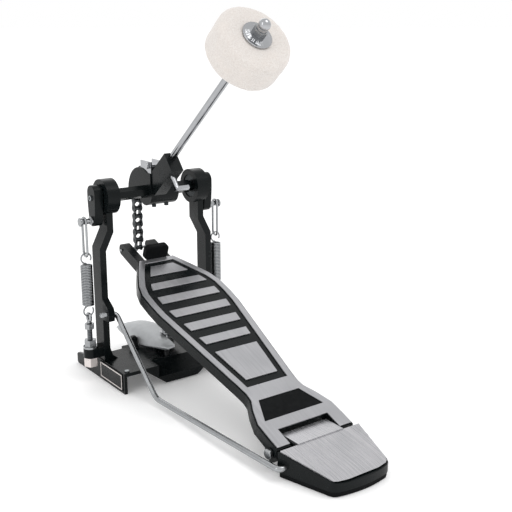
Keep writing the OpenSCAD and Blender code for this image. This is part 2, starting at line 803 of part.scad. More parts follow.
module jaw_pin() {
  color("#5f6467") bar_x(-jaw_half - 9, jaw_half + 9, 2.5, jaw_y, jaw_z);
}

module jaw_spring() {
  color("#8a8d8f") difference() {
    bar_z(deck_z, deck_z + 9, 5.5, 0, clamp_y + 16);
    bar_z(deck_z - 1, deck_z + 10, 4, 0, clamp_y + 16);
  }
}

module clamp_bolt() {
  color("#c9c9cb") {
    bar_z(deck_z + 0.3, deck_z + 23, 3.2, 0, clamp_y);
    bar_z(deck_z + 22.2, deck_z + 24, 6.5, 0, clamp_y);
    translate([-3.2, clamp_y - 3.2, deck_z + 23.5]) cube([6.4, 6.4, 3]);
  }
}

// ---------- what is drawn ----------

frame();
badge_plate();
base_pads();
flange_screws();
bearing(false);  // bearing_left
bearing(true);  // bearing_right
axle();
drive_cam();
cam_screws();
chain_channel();
channel_screw();
chain_strand();
chain_piece(1);  // chain_link_a
chain_piece(2);  // chain_link_b
chain_piece(3);  // chain_link_c
chain_piece(4);  // chain_end
toe_pin();
beater_holder();
holder_screw();
beater_shaft();
felt_head();
dished_washer(felt_reach + felt_len / 2, true);  // washer_front
dished_washer(felt_reach - felt_len / 2, false);  // washer_back
felt_nut();
ball_nut();
crank(false);  // crank_left
crank(true);  // crank_right
crank_bolts();
crank_pin(false);  // crank_pin_left
crank_pin(true);  // crank_pin_right
shackle(false);  // shackle_left
shackle(true);  // shackle_right
spring(false);  // spring_left
spring(true);  // spring_right
spring_hook(false);  // spring_hook_left
spring_hook(true);  // spring_hook_right
eye_bolt(false);  // eye_bolt_left
eye_bolt(true);  // eye_bolt_right
tension_nuts(false);  // tension_nuts_left
tension_nuts(true);  // tension_nuts_right
lock_nuts();
radius_rod(false);  // radius_rod_left
radius_rod(true);  // radius_rod_right
heel_plate();
heel_top();
heel_pad();
hinge_bolts();
footboard();
footboard_rim();
tread_bars();
heel_grip();
toe_stop();
hoop_jaw();
jaw_pin();
jaw_spring();
clamp_bolt();
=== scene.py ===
# Bass drum pedal: the finished pieces and materials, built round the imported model.
# Metres, +X the player's right, +Y towards the drum, +Z up.
import json
import math

import bmesh
import bpy
from mathutils import Matrix, Vector, noise


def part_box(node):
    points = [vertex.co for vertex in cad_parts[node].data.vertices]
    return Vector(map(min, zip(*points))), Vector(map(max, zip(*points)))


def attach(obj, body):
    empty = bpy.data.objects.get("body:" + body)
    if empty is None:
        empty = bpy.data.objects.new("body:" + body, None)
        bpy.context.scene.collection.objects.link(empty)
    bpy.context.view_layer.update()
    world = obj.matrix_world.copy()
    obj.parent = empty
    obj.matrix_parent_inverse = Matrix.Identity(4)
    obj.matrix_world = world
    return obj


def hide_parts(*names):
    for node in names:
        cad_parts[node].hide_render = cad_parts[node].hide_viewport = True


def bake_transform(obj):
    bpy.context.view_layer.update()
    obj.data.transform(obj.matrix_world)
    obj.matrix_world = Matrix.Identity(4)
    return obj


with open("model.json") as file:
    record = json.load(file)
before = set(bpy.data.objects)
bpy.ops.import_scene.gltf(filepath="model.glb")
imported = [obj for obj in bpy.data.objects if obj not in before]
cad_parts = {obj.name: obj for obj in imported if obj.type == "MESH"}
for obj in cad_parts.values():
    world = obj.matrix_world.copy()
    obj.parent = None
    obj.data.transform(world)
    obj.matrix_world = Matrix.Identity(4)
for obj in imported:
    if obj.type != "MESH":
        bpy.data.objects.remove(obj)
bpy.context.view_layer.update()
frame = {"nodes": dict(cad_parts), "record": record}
MM = 0.001

# ---------------------------------------------------------------- the pedal's own sizes, mm
AXLE_Z = 210.0
LEAN = math.radians(50)
SHAFT_OFF = 3.3
BOARD_ANGLE = math.radians(20.4)
HEEL_Y, HEEL_Z = -284.0, 17.0
BOARD_TOP = 10.7
SPRING_X = 85.0
PIN_Z = 185.0
PITCH = 9.525
TOE = (HEEL_Y + 341.5 * math.cos(BOARD_ANGLE), HEEL_Z + 341.5 * math.sin(BOARD_ANGLE))
CAM = (10.0, 207.0)


# ---------------------------------------------------------------- materials
def tone(code):
    """An sRGB hex colour as linear RGBA."""
    out = []
    for i in (1, 3, 5):
        c = int(code[i:i + 2], 16) / 255
        out.append(c / 12.92 if c <= 0.04045 else ((c + 0.055) / 1.055) ** 2.4)
    return (*out, 1.0)


def put(tree, kind, wires=None, **settings):
    """Adds a node with its settings. wires maps an input's name or number to a value or to an output."""
    node = tree.nodes.new(kind)
    for key, value in settings.items():
        setattr(node, key, value)
    for key, value in (wires or {}).items():
        if isinstance(value, bpy.types.NodeSocket):
            tree.links.new(value, node.inputs[key])
        else:
            node.inputs[key].default_value = value
    return node


def finish_of(name, **surface):
    """A new material with its shader, ready for patterns. Returns the material, its tree, shader and coordinates."""
    mat = bpy.data.materials.new(name)
    mat.use_nodes = True
    tree = mat.node_tree
    shader = tree.nodes["Principled BSDF"]
    for key, value in surface.items():
        shader.inputs[key.replace("_", " ")].default_value = value
    where = put(tree, "ShaderNodeTexCoord").outputs["Object"]
    return mat, tree, shader, where


def spread(tree, value, low, high, first, last):
    """Maps value from low..high onto first..last."""
    return put(tree, "ShaderNodeMapRange", {0: value, 1: low, 2: high, 3: first, 4: last}).outputs[0]


def mixed(tree, factor, a, b):
    """Blends two colours."""
    node = put(tree, "ShaderNodeMix", {0: factor, 6: a, 7: b}, data_type="RGBA")
    return node.outputs[2]


def grains(tree, where, size_mm, detail=3.0, rough=0.55):
    """Noise whose grains are about size_mm across."""
    return put(tree, "ShaderNodeTexNoise", {"Vector": where, "Scale": 1000.0 / size_mm, "Detail": detail,
                                            "Roughness": rough}).outputs["Fac"]


def relief(tree, shader, height, depth_mm, strength=1.0):
    """Raises the surface by height, up to depth_mm."""
    bump = put(tree, "ShaderNodeBump", {"Height": height, "Distance": depth_mm * MM, "Strength": strength})
    tree.links.new(bump.outputs[0], shader.inputs["Normal"])


def black_enamel():
    # Stoved gloss enamel on a casting: a deep cool black, a clear skin with faint orange peel.
    mat, tree, shader, where = finish_of("black_enamel", Metallic=0.0, IOR=1.5, Specular_IOR_Level=0.14)
    cloud = grains(tree, where, 24.0, 2.0)
    tree.links.new(mixed(tree, cloud, tone("#080b0c"), tone("#101516")), shader.inputs["Base Color"])
    tree.links.new(spread(tree, grains(tree, where, 9.0), 0.3, 0.7, 0.2, 0.32), shader.inputs["Roughness"])
    relief(tree, shader, grains(tree, where, 2.4, 1.0), 0.015, 0.4)
    return mat


def brushed_aluminium(name, light, dark, rough=0.34):
    # Rolled sheet aluminium, satin brushed: fine scratches that run one way.
    mat, tree, shader, where = finish_of(name, Metallic=0.85)
    turned = put(tree, "ShaderNodeMapping", {"Vector": where, "Scale": (1.0, 0.02, 0.02)}).outputs[0]
    scratch = grains(tree, turned, 0.9, 4.0, 0.7)
    broad = grains(tree, where, 40.0, 2.0)
    tint = mixed(tree, spread(tree, scratch, 0.3, 0.7, 0.0, 1.0), tone(dark), tone(light))
    tree.links.new(mixed(tree, spread(tree, broad, 0.35, 0.65, 0.0, 0.25), tint, tone("#8f9194")),
                   shader.inputs["Base Color"])
    tree.links.new(spread(tree, scratch, 0.3, 0.7, rough - 0.06, rough + 0.1), shader.inputs["Roughness"])
    relief(tree, shader, scratch, 0.008, 0.35)
    return mat


def plated(name, low, high, rough, grain=6.0, metal=1.0, bump=0.01):
    # Plated or bare steel: one metal colour with faint cloudiness and handling marks.
    mat, tree, shader, where = finish_of(name, Metallic=metal)
    cloud = grains(tree, where, grain, 3.0)
    tree.links.new(mixed(tree, cloud, tone(low), tone(high)), shader.inputs["Base Color"])
    tree.links.new(spread(tree, grains(tree, where, grain * 0.5), 0.3, 0.7, rough * 0.75, rough * 1.3),
                   shader.inputs["Roughness"])
    relief(tree, shader, grains(tree, where, 0.8, 2.0), bump, 0.5)
    return mat


def pressed_felt():
    # Hard pressed wool felt: off-white, matt, matted fibres and a faint fuzz.
    mat, tree, shader, where = finish_of("pressed_felt", Metallic=0.0, Roughness=0.95, Sheen_Weight=0.35,
                                         Sheen_Roughness=0.5, Specular_IOR_Level=0.2)
    fibre = grains(tree, where, 1.3, 6.0, 0.75)
    tuft = grains(tree, where, 9.0, 3.0)
    tint = mixed(tree, spread(tree, fibre, 0.35, 0.65, 0.0, 1.0), tone("#cbc3bd"), tone("#e0dcd8"))
    tree.links.new(mixed(tree, spread(tree, tuft, 0.4, 0.7, 0.0, 0.35), tint, tone("#dcd3cc")),
                   shader.inputs["Base Color"])
    both = put(tree, "ShaderNodeMath", {0: fibre, 1: tuft}, operation="ADD").outputs[0]
    relief(tree, shader, both, 0.45, 0.7)
    return mat


def moulded_rubber():
    # Moulded rubber: nearly black, dull, with a fine pebbled skin.
    mat, tree, shader, where = finish_of("moulded_rubber", Metallic=0.0, IOR=1.5, Specular_IOR_Level=0.08)
    pebble = put(tree, "ShaderNodeTexVoronoi", {"Vector": where, "Scale": 1000.0 / 1.1}).outputs["Distance"]
    tree.links.new(mixed(tree, grains(tree, where, 14.0), tone("#08090a"), tone("#101213")),
                   shader.inputs["Base Color"])
    tree.links.new(spread(tree, grains(tree, where, 5.0), 0.3, 0.7, 0.55, 0.75), shader.inputs["Roughness"])
    relief(tree, shader, pebble, 0.08, 0.6)
    return mat


ENAMEL = black_enamel()
ALU = brushed_aluminium("brushed_aluminium", "#b9b9bc", "#a3a3a6")
HEEL_ALU = brushed_aluminium("brushed_heel_aluminium", "#c6c4c7", "#a9aaad", 0.26)
# Chrome and zinc get darker colours than the plated metal really has. This is painted shade, standing in for the dark
# surroundings they would reflect.
CHROME = plated("polished_chrome", "#999b9d", "#b4b5b8", 0.1, 16.0, bump=0.001)
ZINC = plated("bright_zinc_plate", "#8e9092", "#a9abad", 0.2, 14.0, bump=0.002)
NUT = plated("satin_nickel_plate", "#d2cac7", "#e6dfdc", 0.36, metal=0.55, bump=0.002)
SCREW = plated("plain_steel_screws", "#7d8284", "#a4a8aa", 0.34)
DARK = plated("blackened_steel", "#1d2022", "#34383a", 0.34, metal=0.9)
CHAIN = plated("oiled_chain_steel", "#2f3234", "#4d5052", 0.28, 4.0)
PINS = plated("chain_pin_steel", "#85888a", "#a9abad", 0.3, 3.0)
SPRING = plated("drawn_spring_wire", "#858789", "#a3a5a7", 0.2, 6.0, bump=0.002)
JAW = plated("grey_cast_jaw", "#a3a6a8", "#bfc1c3", 0.42, 7.0, metal=0.35, bump=0.04)
FELT = pressed_felt()
RUBBER = moulded_rubber()


# ---------------------------------------------------------------- mesh helpers
def thing(name, mesh, mats):
    """A new object at the origin with these materials."""
    obj = bpy.data.objects.new(name, mesh)
    bpy.context.scene.collection.objects.link(obj)
    finishes = [face.material_index for face in mesh.polygons]
    mesh.materials.clear()
    for m in mats:
        mesh.materials.append(m)
    for face, index in zip(mesh.polygons, finishes):
        face.material_index = index
    return obj


def from_bm(name, bm, mats, smooth=38.0):
    """Turns a bmesh into an object, with its normals outwards and its creases kept."""
    bmesh.ops.remove_doubles(bm, verts=bm.verts, dist=1e-6)
    bmesh.ops.recalc_face_normals(bm, faces=bm.faces)
    mesh = bpy.data.meshes.new(name)
    bm.to_mesh(mesh)
    bm.free()
    crease(mesh, smooth)
    return thing(name, mesh, mats)


def crease(mesh, degrees):
    for face in mesh.polygons:
        face.use_smooth = True
    mesh.set_sharp_from_angle(angle=math.radians(degrees))


def baked(obj):
    """Replaces an object's mesh with what its modifiers make of it."""
    bpy.context.view_layer.update()
    graph = bpy.context.evaluated_depsgraph_get()
    mesh = bpy.data.meshes.new_from_object(obj.evaluated_get(graph))
    mesh.name = obj.name
    obj.modifiers.clear()
    obj.data = mesh
    return obj


def place(obj, body, slot, *nodes):
    """The piece rides on a body and stands for CAD nodes, which it hides; slot is not used."""
    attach(obj, body)
    if nodes:
        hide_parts(*nodes)
    return obj


BODY = {n: b for b, ns in frame["record"]["behaviour"]["bodies"].items() for n in ns}
SLOT = {s["node"]: s["material_slot"] for s in frame["record"]["subparts"]}


def eased(node, radius, mats, segments=3, angle=32.0):
    """A copy of a CAD node with its edges rounded to radius mm, in place of the node."""
    bm = bmesh.new()
    bm.from_mesh(frame["nodes"][node].data)
    bmesh.ops.remove_doubles(bm, verts=bm.verts, dist=2e-6)
    bmesh.ops.dissolve_limit(bm, angle_limit=math.radians(0.6), verts=bm.verts, edges=bm.edges)
    mesh = bpy.data.meshes.new(node)
    bm.to_mesh(mesh)
    bm.free()
    for face in mesh.polygons:
        face.use_smooth = True
        face.material_index = 0
    obj = thing(node + "_finished", mesh, mats)
    bevel = obj.modifiers.new("edges", "BEVEL")
    bevel.width = radius * MM
    bevel.segments = segments
    bevel.limit_method = "ANGLE"
    bevel.angle_limit = math.radians(angle)
    bevel.miter_outer = "MITER_ARC"
    shade = obj.modifiers.new("shading", "WEIGHTED_NORMAL")
    shade.keep_sharp = True
    shade.weight = 80
    mesh.set_sharp_from_angle(angle=math.radians(75))
    baked(obj)
    return place(obj, BODY[node], SLOT[node], node)


def ring_frames(points, closed):
    """A direction and two square-on vectors at each point of a path, turning as little as they can."""
    n = len(points)
    dirs = []
    for i in range(n):
        a = points[(i - 1) % n] if closed or i else points[i]
        b = points[(i + 1) % n] if closed or i < n - 1 else points[i]
        dirs.append((b - a).normalized())
    side = dirs[0].orthogonal().normalized()
    frames = []
    for d in dirs:
        side = (side - d * side.dot(d)).normalized()
        frames.append((side, d.cross(side)))
    return frames


def sweep(bm, points, radius, sides=16, closed=False, index=0):
    """Sweeps a round section along points, in mm."""
    pts = [Vector(p) * MM for p in points]
    rings = []
    for p, (u, v) in zip(pts, ring_frames(pts, closed)):
        rings.append([bm.verts.new(p + (u * math.cos(2 * math.pi * k / sides) + v * math.sin(2 * math.pi * k / sides))
                                   * radius * MM) for k in range(sides)])
    pairs = list(zip(rings, rings[1:])) + ([(rings[-1], rings[0])] if closed else [])
    for a, b in pairs:
        for k in range(sides):
            bm.faces.new((a[k], a[(k + 1) % sides], b[(k + 1) % sides], b[k])).material_index = index
    if not closed:
        for ring, d in ((rings[0], pts[0] - pts[1]), (rings[-1], pts[-1] - pts[-2])):
            mid = sum((v.co for v in ring), Vector()) / sides
            inner = [bm.verts.new(mid + (v.co - mid) * 0.72 + d.normalized() * radius * MM * 0.22) for v in ring]
            for k in range(sides):
                bm.faces.new((ring[k], ring[(k + 1) % sides], inner[(k + 1) % sides], inner[k])).material_index = index
            bm.faces.new(inner).material_index = index


def rounded_path(points, bend, steps=8):
    """Rounds a path's corners to about bend mm."""
    pts = [Vector(p) for p in points]
    out = [pts[0]]
    for a, b, c in zip(pts, pts[1:], pts[2:]):
        u, v = (a - b), (c - b)
        cut = min(bend, u.length * 0.45, v.length * 0.45)
        p, q = b + u.normalized() * cut, b + v.normalized() * cut
        for i in range(steps + 1):
            t = i / steps
            out.append(p * (1 - t) ** 2 + b * 2 * t * (1 - t) + q * t * t)
    out.append(pts[-1])
    return out


def spin(bm, profile, origin, axis, up, segments=64, index=0):
    """Turns a profile of (distance from the axis, height) in mm about axis."""
    axis, up = Vector(axis).normalized(), Vector(up)
    side = (up - axis * up.dot(axis)).normalized()
    other = axis.cross(side)
    rings = []
    for r, h in profile:
        if r < 1e-6:
            rings.append([bm.verts.new((Vector(origin) + axis * h) * MM)])
        else:
            rings.append([bm.verts.new((Vector(origin) + axis * h + (side * math.cos(2 * math.pi * k / segments)
                          + other * math.sin(2 * math.pi * k / segments)) * r) * MM) for k in range(segments)])
    for a, b in zip(rings, rings[1:]):
        for k in range(segments):
            j = (k + 1) % segments
            if len(a) == 1 and len(b) > 1:
                f = bm.faces.new((a[0], b[j], b[k]))
            elif len(b) == 1 and len(a) > 1:
                f = bm.faces.new((a[k], a[j], b[0]))
            elif len(a) > 1:
                f = bm.faces.new((a[k], a[j], b[j], b[k]))
            else:
                continue
            f.material_index = index


def on_beater(x, y, t):
    """A point given in the beater's own frame: y above the shaft, t along it from the axle."""
    y += SHAFT_OFF
    return Vector((x, y * math.cos(LEAN) - t * math.sin(LEAN), AXLE_Z + y * math.sin(LEAN) + t * math.cos(LEAN)))


def on_board(x, s, n):
    """A point on the footboard: s along it from the hinge, n square to it."""
    return Vector((x, HEEL_Y + s * math.cos(BOARD_ANGLE) - n * math.sin(BOARD_ANGLE),
                   HEEL_Z + s * math.sin(BOARD_ANGLE) + n * math.cos(BOARD_ANGLE)))


ALONG = on_beater(0, 0, 1) - on_beater(0, 0, 0)

# ---------------------------------------------------------------- castings and turned parts
for node, radius, mat in (
        ("frame", 1.1, ENAMEL), ("drive_cam", 0.6, ENAMEL), ("beater_holder", 1.2, ENAMEL), ("axle", 0.5, ENAMEL),
        ("crank_left", 1.3, ENAMEL), ("crank_right", 1.3, ENAMEL), ("heel_plate", 1.4, ENAMEL),
        ("heel_top", 0.5, HEEL_ALU), ("heel_pad", 0.8, RUBBER), ("footboard", 0.9, ENAMEL),
        ("footboard_rim", 0.35, ALU), ("tread_bars", 0.35, ALU), ("heel_grip", 0.3, RUBBER), ("toe_stop", 1.2, RUBBER),
        ("base_pads", 0.3, RUBBER), ("bearing_left", 0.5, DARK), ("bearing_right", 0.5, DARK),
        ("flange_screws", 0.4, SCREW), ("cam_screws", 0.3, DARK), ("chain_channel", 0.3, CHROME),
        ("channel_screw", 0.4, CHROME), ("crank_bolts", 0.4, SCREW), ("crank_pin_left", 0.5, ZINC),
        ("crank_pin_right", 0.5, ZINC), ("beater_shaft", 0.5, CHROME), ("washer_front", 0.5, CHROME),
        ("washer_back", 0.5, CHROME), ("felt_nut", 0.6, ZINC), ("ball_nut", 0.3, CHROME),
        ("tension_nuts_left", 0.6, ZINC), ("tension_nuts_right", 0.6, ZINC), ("lock_nuts", 0.9, NUT),
        ("hinge_bolts", 0.6, ZINC), ("toe_pin", 0.3, ZINC), ("jaw_pin", 0.5, DARK), ("jaw_spring", 0.4, DARK),
        ("clamp_bolt", 0.5, CHROME), ("holder_screw", 0.5, CHROME)):
    eased(node, radius, [mat])


# ---------------------------------------------------------------- felt
def felt_head():
    bm = bmesh.new()
    half, r, corner = 18.0, 38.0, 7.0
    line = [(4.02, -half)]
    line += [(4.02 + (r - corner - 4.02) * k / 8, -half) for k in range(1, 9)]
    line += [(r - corner + corner * math.sin(a), -half + corner - corner * math.cos(a))
             for a in [math.radians(90 * k / 10) for k in range(1, 11)]]
    line += [(r, -half + corner + (2 * half - 2 * corner) * k / 6) for k in range(1, 6)]
    line += [(d, -h) for d, h in reversed(line[1:19])]
    line += [(4.02, half), (4.02, -half)]
    spin(bm, line, on_beater(0, 0, 246.0), ALONG, (1, 0, 0), 128)
    obj = from_bm("felt", bm, [FELT], 60)
    fine = obj.modifiers.new("fine", "SUBSURF")
    fine.levels = fine.render_levels = 1
    baked(obj)
    mid = on_beater(0, 0, 246.0) * MM
    for v in obj.data.vertices:
        d = v.co - mid
        t = d.dot(ALONG)
        out = d - ALONG * t
        if out.length > 0.006:
            lump = noise.noise(v.co * 60.0) * 0.5 + noise.noise(v.co * 230.0) * 0.28 - 0.45
            v.co += d.normalized() * lump * MM
    crease(obj.data, 70)
    return place(obj, "beater_group", "felt_white", "felt_head")


felt_head()


# ---------------------------------------------------------------- springs, shackles and eye bolts
def coil_tree():
    """A close-wound coil: turns, radius, length and wire radius are its inputs."""
    tree = bpy.data.node_groups.new("wound_coil", "GeometryNodeTree")
    tree.interface.new_socket("Geometry", in_out="OUTPUT", socket_type="NodeSocketGeometry")
    for name in ("Turns", "Radius", "Length", "Wire Radius"):
        tree.interface.new_socket(name, in_out="INPUT", socket_type="NodeSocketFloat")
    tree.interface.new_socket("Material", in_out="INPUT", socket_type="NodeSocketMaterial")
    given = put(tree, "NodeGroupInput").outputs
    spiral = put(tree, "GeometryNodeCurveSpiral", {"Resolution": 26, "Rotations": given["Turns"],
                 "Start Radius": given["Radius"], "End Radius": given["Radius"], "Height": given["Length"]})
    section = put(tree, "GeometryNodeCurvePrimitiveCircle", {"Resolution": 10, "Radius": given["Wire Radius"]})
    wire = put(tree, "GeometryNodeCurveToMesh", {"Curve": spiral.outputs[0], "Profile Curve": section.outputs[0],
                                                 "Fill Caps": True})
    real = put(tree, "GeometryNodeRealizeInstances", {0: wire.outputs[0]})
    done = put(tree, "GeometryNodeSetMaterial", {"Geometry": real.outputs[0], "Material": given["Material"]})
    put(tree, "NodeGroupOutput", {0: done.outputs[0]})
    return tree


def grown(name, mesh, tree, mats, **inputs):
    """Runs a Geometry Nodes tree on a mesh and keeps the result as a plain object."""
    obj = thing(name, mesh, mats)
    grow = obj.modifiers.new("grow", "NODES")
    grow.node_group = tree
    for item in tree.interface.items_tree:
        if item.in_out == "INPUT" and item.name in inputs:
            grow[item.identifier] = inputs[item.name]
    return baked(obj)


COIL = coil_tree()
COIL_LOW, COIL_HIGH = 89.85, 137.85
HOOK_R, WIRE_R = 5.8, 0.9
LOW_HOOK, TOP_HOOK = COIL_LOW - 6.3, COIL_HIGH + 6.3


def spring(side, sx):
    x = sx * SPRING_X
    turns = 25.5
    coil = grown("coil_" + side, bpy.data.meshes.new("coil"), COIL, [SPRING], Turns=turns, Radius=HOOK_R * MM,
                 Length=(COIL_HIGH - COIL_LOW - 1.8) * MM, Material=SPRING, **{"Wire Radius": WIRE_R * MM})
    bm = bmesh.new()
    bm.from_mesh(coil.data)
    bmesh.ops.translate(bm, verts=bm.verts, vec=Vector((x, 0, COIL_LOW + 0.9)) * MM)
    bpy.data.objects.remove(coil)
    for middle, way in ((LOW_HOOK, -1), (TOP_HOOK, 1)):
        path = []
        for k in range(31):
            a = math.radians(180 + 10.0 * k)
            path.append((x + HOOK_R * math.sin(a), 0.0, middle + way * HOOK_R * math.cos(a)))
        sweep(bm, path, WIRE_R, 10)
    obj = from_bm("spring_wire_" + side, bm, [SPRING], 60)
    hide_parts("spring_" + side, "spring_hook_" + side)
    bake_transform(obj)


def shackle(side, sx):
    x = sx * SPRING_X
    top, low, r = 184.95, 150.95, 4.7
    path = [(x, r * math.cos(math.radians(9 * k)), top + r * math.sin(math.radians(9 * k))) for k in range(21)]
    path += [(x, -r * math.cos(math.radians(9 * k)), low - r * math.sin(math.radians(9 * k))) for k in range(21)]
    bm = bmesh.new()
    sweep(bm, path, 1.3, 14, closed=True)
    place(from_bm("shackle_wire_" + side, bm, [ZINC], 60), f"shackle_{side}_group", "steel_zinc", "shackle_" + side)


def eye_bolt(side, sx):
    x = sx * SPRING_X
    low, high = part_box("eye_bolt_" + side)
    eye_z = high.z / MM - 6.0
    bm = bmesh.new()
    ring = [(x, 4.3 * math.sin(math.radians(10 * k)), eye_z + 4.3 * math.cos(math.radians(10 * k))) for k in range(36)]
    sweep(bm, ring, 1.65, 14, closed=True)
    # shank with its thread as close rings
    z, line = low.z / MM, [(0, low.z / MM), (2.4, low.z / MM), (2.9, low.z / MM + 0.6)]
    h = low.z / MM + 0.6
    while h < eye_z - 6.2:
        line += [(2.98, h + 0.25), (2.55, h + 0.55)]
        h += 0.6
    line += [(2.9, h), (2.2, eye_z - 4.2), (0, eye_z - 4.2)]
    spin(bm, line, (x, 0, 0), (0, 0, 1), (1, 0, 0), 28)
    place(from_bm("eye_bolt_turned_" + side, bm, [ZINC], 50), "frame_group", "steel_zinc", "eye_bolt_" + side)


def radius_rod(side, sx):
    path = [(-78.5, -17, 81), (-60, -17, 81), (-60, -102, 8), (-58, -142, 8), (-54, -306, 12), (-41, -306, 12)]
    bm = bmesh.new()
    sweep(bm, rounded_path([(-sx * p[0], p[1], p[2]) for p in path], 7.0), 2.9, 18)
    place(from_bm("radius_rod_wire_" + side, bm, [ZINC], 60), "frame_group", "steel_zinc", "radius_rod_" + side)


for side, sx in (("left", -1), ("right", 1)):
    spring(side, sx)
    shackle(side, sx)
    eye_bolt(side, sx)
    radius_rod(side, sx)


# ---------------------------------------------------------------- chain
def plate(bm, a, b, x, index):
    """One link plate, 1.2 mm thick, waisted between its two pins, with its rim eased."""
    a, b = Vector((0, *a)), Vector((0, *b))
    along = (b - a).normalized()
    across = Vector((0, -along.z, along.y))
    length = (b - a).length
    outline = []
    for k in range(13):
        t = math.radians(128 - 256 * k / 12)
        outline.append((length + 3.95 * math.cos(t), 3.95 * math.sin(t)))
    outline.append((length / 2, -2.75))
    outline += [(length - u, -v) for u, v in outline[:13]] + [(length / 2, 2.75)]
    layers = []
    for dx, inset in ((-0.6, 0.3), (-0.32, 0.0), (0.32, 0.0), (0.6, 0.3)):
        layer = []
        for u, v in outline:
            c = Vector((length / 2, 0))
            p = Vector((u, v))
            p -= (p - c).normalized() * inset
            q = a + along * p.x + across * p.y
            layer.append(bm.verts.new(Vector((x + dx, q.y, q.z)) * MM))
        layers.append(layer)
    n = len(outline)
    for lo, hi in zip(layers, layers[1:]):
        for k in range(n):
            bm.faces.new((lo[k], lo[(k + 1) % n], hi[(k + 1) % n], hi[k])).material_index = index
    bm.faces.new(layers[0]).material_index = index
    bm.faces.new(layers[-1]).material_index = index


def link(bm, a, b, outer):
    """An outer link carries its two pins, an inner link its two bushes."""
    for sx in (-1, 1):
        plate(bm, a, b, sx * (4.5 if outer else 3.1), 0)
    for p in (a, b):
        if outer:
            line = [(0, -5.5), (1.0, -5.5), (1.4, -5.2), (1.4, 5.2), (1.0, 5.5), (0, 5.5)]
        else:
            line = [(1.6, -2.6), (2.5, -2.6), (2.5, 2.6), (1.6, 2.6), (1.6, -2.6)]
        spin(bm, line, (0, *p), (1, 0, 0), (0, 0, 1), 18, 1)


def run_tree():
    """Repeats a pair of links along Z: its inputs are the number of pairs and the step between them."""
    tree = bpy.data.node_groups.new("chain_run", "GeometryNodeTree")
    tree.interface.new_socket("Geometry", in_out="OUTPUT", socket_type="NodeSocketGeometry")
    tree.interface.new_socket("Pair", in_out="INPUT", socket_type="NodeSocketGeometry")
    tree.interface.new_socket("Pairs", in_out="INPUT", socket_type="NodeSocketInt")
    tree.interface.new_socket("Step", in_out="INPUT", socket_type="NodeSocketVector")
    for name in ("Plates", "Rollers"):
        tree.interface.new_socket(name, in_out="INPUT", socket_type="NodeSocketMaterial")
    given = put(tree, "NodeGroupInput").outputs
    line = put(tree, "GeometryNodeMeshLine", {"Count": given["Pairs"], "Offset": given["Step"]})
    rows = put(tree, "GeometryNodeInstanceOnPoints", {"Points": line.outputs[0], "Instance": given["Pair"]})
    real = put(tree, "GeometryNodeRealizeInstances", {0: rows.outputs[0]})
    which = put(tree, "GeometryNodeInputMaterialIndex").outputs[0]
    pins = put(tree, "FunctionNodeCompare", {2: which, 3: 1}, data_type="INT", operation="EQUAL").outputs[0]
    first = put(tree, "GeometryNodeSetMaterial", {"Geometry": real.outputs[0], "Material": given["Plates"]})
    last = put(tree, "GeometryNodeSetMaterial", {"Geometry": first.outputs[0], "Selection": pins,
                                                 "Material": given["Rollers"]})
    put(tree, "NodeGroupOutput", {0: last.outputs[0]})
    return tree


def chain():
    bm = bmesh.new()
    pins = [(TOE[0], TOE[1] + k * PITCH) for k in range(9)]
    link(bm, pins[0], pins[1], False)
    link(bm, pins[1], pins[2], True)
    bmesh.ops.recalc_face_normals(bm, faces=bm.faces)
    pair = bpy.data.meshes.new("link_pair")
    bm.to_mesh(pair)
    bm.free()
    strand = grown("chain_run", pair, run_tree(), [CHAIN, PINS], Pairs=4, Step=(0.0, 0.0, 2 * PITCH * MM),
                   Plates=CHAIN, Rollers=PINS)
    crease(strand.data, 35)
    place(strand, "strand_group", "steel_chain", "chain_strand")
    r = math.hypot(pins[8][0] - CAM[0], pins[8][1] - CAM[1])
    start = math.atan2(pins[8][1] - CAM[1], pins[8][0] - CAM[0])
    turn = 2 * math.asin(PITCH / 2 / r)
    wrap = [(CAM[0] + r * math.cos(start + k * turn), CAM[1] + r * math.sin(start + k * turn)) for k in range(5)]
    for node, k, body in (("chain_link_a", 0, "link_a_group"), ("chain_link_b", 1, "link_b_group"),
                          ("chain_link_c", 2, "link_c_group"), ("chain_end", 3, "link_c_group")):
        bm = bmesh.new()
        link(bm, wrap[k], wrap[k + 1], k % 2 == 1)
        place(from_bm(node + "_plates", bm, [CHAIN, PINS], 35), body, "steel_chain", node)


chain()


# ---------------------------------------------------------------- badge plate and hoop jaw
def badge():
    low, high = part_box("badge_plate")
    bm = bmesh.new()
    x, y0, y1, z0, z1 = low.x / MM, low.y / MM, high.y / MM, low.z / MM, high.z / MM
    xin = high.x / MM

    def rect(x, inset):
        return [bm.verts.new(Vector((x, y, z)) * MM) for y, z in (
            (y0 + inset, z0 + inset), (y1 - inset, z0 + inset), (y1 - inset, z1 - inset), (y0 + inset, z1 - inset))]

    loops = [rect(xin, 0), rect(x + 0.25, 0), rect(x, 0.25), rect(x, 1.3), rect(x, 2.5)]
    for n, (a, b) in enumerate(zip(loops, loops[1:])):
        for k in range(4):
            bm.faces.new((a[k], a[(k + 1) % 4], b[(k + 1) % 4], b[k])).material_index = 1 if n == 3 else 0
    bm.faces.new(loops[0]).material_index = 0
    bm.faces.new(loops[-1]).material_index = 0
    place(from_bm("badge_blank", bm, [ENAMEL, NUT], 20), "frame_group", "black_plate", "badge_plate")


